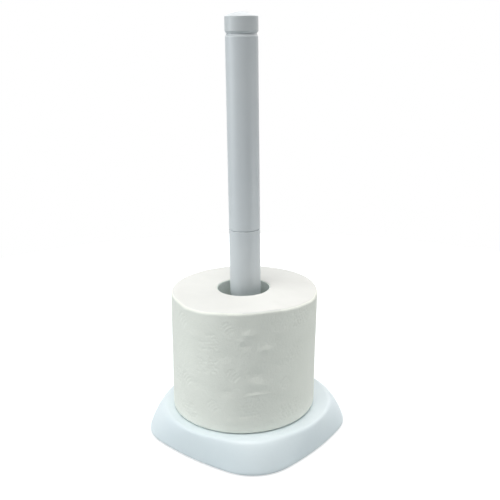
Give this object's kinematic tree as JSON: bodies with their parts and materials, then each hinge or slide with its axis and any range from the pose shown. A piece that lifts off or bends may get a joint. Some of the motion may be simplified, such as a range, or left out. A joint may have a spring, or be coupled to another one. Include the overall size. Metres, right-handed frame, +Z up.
{
  "type": "toilet roll storage stand",
  "caption": "Free-standing spare toilet roll holder: a round post in two push-fit lengths with a domed cap on a bowed-square moulded base, loaded with a paper roll.",
  "frame": {"origin": "centre of the footprint in the floor plane, on the post's axis", "axes": "+Z up along the post; +X right and -Y front, square to the flat sides of the foot"},
  "size_m": [0.147, 0.147, 0.3408],
  "materials": {
    "white_plastic": "satin",
    "inner_plastic": "satin",
    "foot_rubber": "matte",
    "zinc_steel": "satin",
    "tissue_paper": "matte",
    "core_board": "matte"
  },
  "bodies": {
    "stand": {"base_shell": "white_plastic", "foot_front_left": "foot_rubber", "foot_front_right": "foot_rubber", "foot_rear_left": "foot_rubber", "foot_rear_right": "foot_rubber", "lower_pole": "white_plastic", "pole_joiner": "inner_plastic", "pole_plug": "inner_plastic", "fixing_screw": "zinc_steel", "screw_washer": "zinc_steel"},
    "upper_post": {"upper_pole": "white_plastic"},
    "cap": {"top_cap": "white_plastic"},
    "paper_roll": {"roll_paper": "tissue_paper", "roll_core": "core_board"}
  },
  "joints": [
    {"name": "roll_lift", "type": "slide", "parent": "stand", "child": "paper_roll", "axis": [0, 0, 1], "range_m": [0, 0.325]},
    {"name": "upper_pole_pull", "type": "slide", "parent": "stand", "child": "upper_post", "axis": [0, 0, 1], "range_m": [0, 0.035]},
    {"name": "cap_pull", "type": "slide", "parent": "upper_post", "child": "cap", "axis": [0, 0, 1], "range_m": [0, 0.02]}
  ]
}
